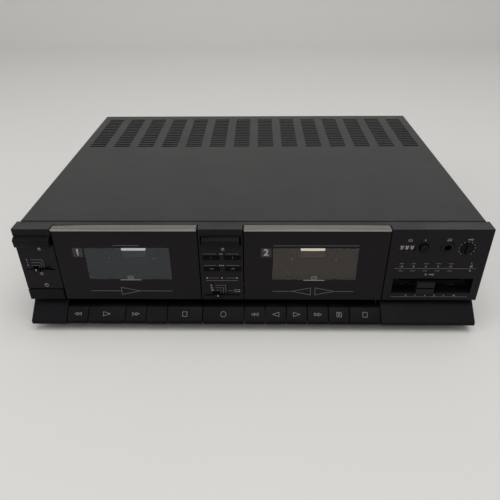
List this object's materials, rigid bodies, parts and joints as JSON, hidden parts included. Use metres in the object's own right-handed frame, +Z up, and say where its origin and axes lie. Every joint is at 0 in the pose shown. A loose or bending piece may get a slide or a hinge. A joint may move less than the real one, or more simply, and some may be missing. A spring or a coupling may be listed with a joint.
{
  "type": "double cassette deck",
  "caption": "Low black hi-fi cassette deck with two hinged tape wells side by side, a slanted row of transport keys, level sliders, a counter and a vented steel cover.",
  "frame": {"origin": "middle of the bottom of the bounding box, on the plane the feet stand on", "axes": "+X to the right as seen from the front, +Y from the front to the back, +Z up"},
  "size_m": [0.435, 0.3434, 0.111],
  "materials": {
    "zinc_steel": "zinc plated",
    "cover_paint": "satin",
    "foot_rubber": "matt",
    "front_plastic": "fine texture",
    "key_plastic": "fine texture",
    "door_plastic": "fine texture",
    "bright_steel": "bright",
    "window_clear": "smoked clear",
    "mechanism_plastic": "matt",
    "brass": "turned",
    "belt_rubber": "matt",
    "core_iron": "varnished",
    "board": "resin board",
    "socket_black": "gloss",
    "control_plastic": "satin",
    "slider_grey": "satin",
    "spindle_plastic": "satin",
    "roller_rubber": "ground",
    "flywheel_steel": "turned",
    "drum_black": "satin"
  },
  "bodies": {
    "case": {"chassis": "zinc_steel", "top_cover": "cover_paint", "feet": "foot_rubber", "front_panel": "front_plastic", "key_bed": "key_plastic", "key_shaft": "bright_steel", "mechanism_frame": "mechanism_plastic", "motor": "zinc_steel", "drive_belt": "belt_rubber", "transformer": "core_iron", "main_board": "board", "rear_sockets": "socket_black", "mains_inlet": "socket_black", "headphone_socket": "socket_black"},
    "door_a": {"door_a": "door_plastic", "window_a": "window_clear", "cassette_holder_a": "bright_steel"},
    "door_b": {"door_b": "door_plastic", "window_b": "window_clear", "cassette_holder_b": "bright_steel"},
    "rewind_a": {"rewind_a": "key_plastic"},
    "play_a": {"play_a": "key_plastic"},
    "forward_a": {"forward_a": "key_plastic"},
    "stop_a": {"stop_a": "key_plastic"},
    "record_key": {"record_key": "key_plastic"},
    "rewind_b": {"rewind_b": "key_plastic"},
    "reverse_play_b": {"reverse_play_b": "key_plastic"},
    "play_b": {"play_b": "key_plastic"},
    "forward_b": {"forward_b": "key_plastic"},
    "pause_b": {"pause_b": "key_plastic"},
    "stop_b": {"stop_b": "key_plastic"},
    "power_key": {"power_key": "control_plastic"},
    "eject_key_a": {"eject_key_a": "control_plastic"},
    "eject_key_b": {"eject_key_b": "control_plastic"},
    "upper_left_button": {"upper_left_button": "control_plastic"},
    "upper_right_button": {"upper_right_button": "control_plastic"},
    "lower_left_button": {"lower_left_button": "control_plastic"},
    "lower_right_button": {"lower_right_button": "control_plastic"},
    "counter_reset": {"counter_reset": "control_plastic"},
    "timer_switch": {"timer_switch": "control_plastic"},
    "reverse_switch": {"reverse_switch": "control_plastic"},
    "level_slider_upper": {"level_slider_upper": "slider_grey"},
    "level_slider_lower": {"level_slider_lower": "slider_grey"},
    "volume_knob": {"volume_knob": "control_plastic"},
    "counter_units": {"counter_units": "drum_black"},
    "counter_tens": {"counter_tens": "drum_black"},
    "counter_hundreds": {"counter_hundreds": "drum_black"},
    "spindle_a_left": {"spindle_a_left": "spindle_plastic"},
    "spindle_a_right": {"spindle_a_right": "spindle_plastic"},
    "head_carriage_a": {"head_carriage_a": "bright_steel"},
    "spindle_b_left": {"spindle_b_left": "spindle_plastic"},
    "spindle_b_right": {"spindle_b_right": "spindle_plastic"},
    "head_carriage_b": {"head_carriage_b": "bright_steel"},
    "pinch_roller_a": {"pinch_roller_a": "roller_rubber"},
    "pinch_roller_b_left": {"pinch_roller_b_left": "roller_rubber"},
    "pinch_roller_b_right": {"pinch_roller_b_right": "roller_rubber"},
    "flywheel_a": {"flywheel_a": "flywheel_steel"},
    "flywheel_b_left": {"flywheel_b_left": "flywheel_steel"},
    "flywheel_b_right": {"flywheel_b_right": "flywheel_steel"},
    "motor_pulley": {"motor_pulley": "brass"}
  },
  "joints": [
    {"name": "door_a_swing", "type": "hinge", "parent": "case", "child": "door_a", "pos_m": [-0.11555, -0.14835, 0.0365], "axis": [1, 0, 0], "range_deg": [0, 18]},
    {"name": "door_b_swing", "type": "hinge", "parent": "case", "child": "door_b", "pos_m": [0.05945, -0.14835, 0.0365], "axis": [1, 0, 0], "range_deg": [0, 18]},
    {"name": "rewind_a_press", "type": "hinge", "parent": "case", "child": "rewind_a", "pos_m": [0, -0.13535, 0.017], "axis": [1, 0, 0], "range_deg": [0, 3], "stiffness_Nm_per_rad": 0.5, "springref_deg": -2.86},
    {"name": "play_a_press", "type": "hinge", "parent": "case", "child": "play_a", "pos_m": [0, -0.13535, 0.017], "axis": [1, 0, 0], "range_deg": [0, 3], "stiffness_Nm_per_rad": 0.5, "springref_deg": -2.86},
    {"name": "forward_a_press", "type": "hinge", "parent": "case", "child": "forward_a", "pos_m": [0, -0.13535, 0.017], "axis": [1, 0, 0], "range_deg": [0, 3], "stiffness_Nm_per_rad": 0.5, "springref_deg": -2.86},
    {"name": "stop_a_press", "type": "hinge", "parent": "case", "child": "stop_a", "pos_m": [0, -0.13535, 0.017], "axis": [1, 0, 0], "range_deg": [0, 3], "stiffness_Nm_per_rad": 0.5, "springref_deg": -2.86},
    {"name": "record_key_press", "type": "hinge", "parent": "case", "child": "record_key", "pos_m": [0, -0.13535, 0.017], "axis": [1, 0, 0], "range_deg": [0, 3], "stiffness_Nm_per_rad": 0.5, "springref_deg": -2.86},
    {"name": "rewind_b_press", "type": "hinge", "parent": "case", "child": "rewind_b", "pos_m": [0, -0.13535, 0.017], "axis": [1, 0, 0], "range_deg": [0, 3], "stiffness_Nm_per_rad": 0.5, "springref_deg": -2.86},
    {"name": "reverse_play_b_press", "type": "hinge", "parent": "case", "child": "reverse_play_b", "pos_m": [0, -0.13535, 0.017], "axis": [1, 0, 0], "range_deg": [0, 3], "stiffness_Nm_per_rad": 0.5, "springref_deg": -2.86},
    {"name": "play_b_press", "type": "hinge", "parent": "case", "child": "play_b", "pos_m": [0, -0.13535, 0.017], "axis": [1, 0, 0], "range_deg": [0, 3], "stiffness_Nm_per_rad": 0.5, "springref_deg": -2.86},
    {"name": "forward_b_press", "type": "hinge", "parent": "case", "child": "forward_b", "pos_m": [0, -0.13535, 0.017], "axis": [1, 0, 0], "range_deg": [0, 3], "stiffness_Nm_per_rad": 0.5, "springref_deg": -2.86},
    {"name": "pause_b_press", "type": "hinge", "parent": "case", "child": "pause_b", "pos_m": [0, -0.13535, 0.017], "axis": [1, 0, 0], "range_deg": [0, 3], "stiffness_Nm_per_rad": 0.5, "springref_deg": -2.86},
    {"name": "stop_b_press", "type": "hinge", "parent": "case", "child": "stop_b", "pos_m": [0, -0.13535, 0.017], "axis": [1, 0, 0], "range_deg": [0, 3], "stiffness_Nm_per_rad": 0.5, "springref_deg": -2.86},
    {"name": "power_key_press", "type": "slide", "parent": "case", "child": "power_key", "axis": [0, 1, 0], "range_m": [0, 0.003], "stiffness_N_per_m": 300, "springref_m": -0.002},
    {"name": "eject_key_a_press", "type": "slide", "parent": "case", "child": "eject_key_a", "axis": [0, 1, 0], "range_m": [0, 0.003], "stiffness_N_per_m": 300, "springref_m": -0.002},
    {"name": "eject_key_b_press", "type": "slide", "parent": "case", "child": "eject_key_b", "axis": [0, 1, 0], "range_m": [0, 0.003], "stiffness_N_per_m": 300, "springref_m": -0.002},
    {"name": "upper_left_button_press", "type": "slide", "parent": "case", "child": "upper_left_button", "axis": [0, 1, 0], "range_m": [0, 0.0015], "stiffness_N_per_m": 500, "springref_m": -0.001},
    {"name": "upper_right_button_press", "type": "slide", "parent": "case", "child": "upper_right_button", "axis": [0, 1, 0], "range_m": [0, 0.0015], "stiffness_N_per_m": 500, "springref_m": -0.001},
    {"name": "lower_left_button_press", "type": "slide", "parent": "case", "child": "lower_left_button", "axis": [0, 1, 0], "range_m": [0, 0.0015], "stiffness_N_per_m": 500, "springref_m": -0.001},
    {"name": "lower_right_button_press", "type": "slide", "parent": "case", "child": "lower_right_button", "axis": [0, 1, 0], "range_m": [0, 0.0015], "stiffness_N_per_m": 500, "springref_m": -0.001},
    {"name": "counter_reset_press", "type": "slide", "parent": "case", "child": "counter_reset", "axis": [0, 1, 0], "range_m": [0, 0.002], "stiffness_N_per_m": 400, "springref_m": -0.001},
    {"name": "timer_switch_slide", "type": "slide", "parent": "case", "child": "timer_switch", "axis": [1, 0, 0], "range_m": [0, 0.007]},
    {"name": "reverse_switch_slide", "type": "slide", "parent": "case", "child": "reverse_switch", "axis": [1, 0, 0], "range_m": [0, 0.007]},
    {"name": "level_slider_upper_slide", "type": "slide", "parent": "case", "child": "level_slider_upper", "axis": [1, 0, 0], "range_m": [-0.021, 0.034]},
    {"name": "level_slider_lower_slide", "type": "slide", "parent": "case", "child": "level_slider_lower", "axis": [1, 0, 0], "range_m": [-0.021, 0.034]},
    {"name": "volume_turn", "type": "hinge", "parent": "case", "child": "volume_knob", "pos_m": [0.1965, -0.15435, 0.09], "axis": [0, -1, 0], "range_deg": [-140, 140]},
    {"name": "counter_units_turn", "type": "hinge", "parent": "case", "child": "counter_units", "pos_m": [0.1427, -0.15035, 0.0901], "axis": [1, 0, 0], "continuous": true},
    {"name": "counter_tens_turn", "type": "hinge", "parent": "case", "child": "counter_tens", "pos_m": [0.1427, -0.15035, 0.0901], "axis": [1, 0, 0], "continuous": true},
    {"name": "counter_hundreds_turn", "type": "hinge", "parent": "case", "child": "counter_hundreds", "pos_m": [0.1427, -0.15035, 0.0901], "axis": [1, 0, 0], "continuous": true},
    {"name": "spindle_a_left_turn", "type": "hinge", "parent": "case", "child": "spindle_a_left", "pos_m": [-0.1368, -0.13935, 0.0715], "axis": [0, 1, 0], "continuous": true},
    {"name": "spindle_a_right_turn", "type": "hinge", "parent": "case", "child": "spindle_a_right", "pos_m": [-0.0943, -0.13935, 0.0715], "axis": [0, 1, 0], "continuous": true},
    {"name": "head_carriage_a_lift", "type": "slide", "parent": "case", "child": "head_carriage_a", "axis": [0, 0, 1], "range_m": [0, 0.006], "stiffness_N_per_m": 200, "springref_m": -0.003},
    {"name": "spindle_b_left_turn", "type": "hinge", "parent": "case", "child": "spindle_b_left", "pos_m": [0.0382, -0.13935, 0.0715], "axis": [0, 1, 0], "continuous": true},
    {"name": "spindle_b_right_turn", "type": "hinge", "parent": "case", "child": "spindle_b_right", "pos_m": [0.0807, -0.13935, 0.0715], "axis": [0, 1, 0], "continuous": true},
    {"name": "head_carriage_b_lift", "type": "slide", "parent": "case", "child": "head_carriage_b", "axis": [0, 0, 1], "range_m": [0, 0.006], "stiffness_N_per_m": 200, "springref_m": -0.003},
    {"name": "pinch_roller_a_turn", "type": "hinge", "parent": "head_carriage_a", "child": "pinch_roller_a", "pos_m": [-0.09255, -0.14535, 0.0392], "axis": [0, 1, 0], "continuous": true},
    {"name": "pinch_roller_b_left_turn", "type": "hinge", "parent": "head_carriage_b", "child": "pinch_roller_b_left", "pos_m": [0.03645, -0.14535, 0.0392], "axis": [0, 1, 0], "continuous": true},
    {"name": "pinch_roller_b_right_turn", "type": "hinge", "parent": "head_carriage_b", "child": "pinch_roller_b_right", "pos_m": [0.08245, -0.14535, 0.0392], "axis": [0, 1, 0], "continuous": true},
    {"name": "flywheel_a_turn", "type": "hinge", "parent": "case", "child": "flywheel_a", "pos_m": [-0.09255, -0.11435, 0.052], "axis": [0, 1, 0], "continuous": true},
    {"name": "flywheel_b_left_turn", "type": "hinge", "parent": "case", "child": "flywheel_b_left", "pos_m": [0.03645, -0.11435, 0.052], "axis": [0, 1, 0], "continuous": true},
    {"name": "flywheel_b_right_turn", "type": "hinge", "parent": "case", "child": "flywheel_b_right", "pos_m": [0.08245, -0.11435, 0.052], "axis": [0, 1, 0], "continuous": true},
    {"name": "motor_pulley_turn", "type": "hinge", "parent": "case", "child": "motor_pulley", "pos_m": [-0.02805, -0.11435, 0.083], "axis": [0, 1, 0], "continuous": true}
  ],
  "couplings": [
    {"joint": "flywheel_b_left_turn", "follows": "flywheel_a_turn", "ratio": 1},
    {"joint": "flywheel_b_right_turn", "follows": "flywheel_a_turn", "ratio": -1},
    {"joint": "motor_pulley_turn", "follows": "flywheel_a_turn", "ratio": 5.044},
    {"joint": "counter_tens_turn", "follows": "counter_units_turn", "ratio": 0.1},
    {"joint": "counter_hundreds_turn", "follows": "counter_units_turn", "ratio": 0.01}
  ]
}
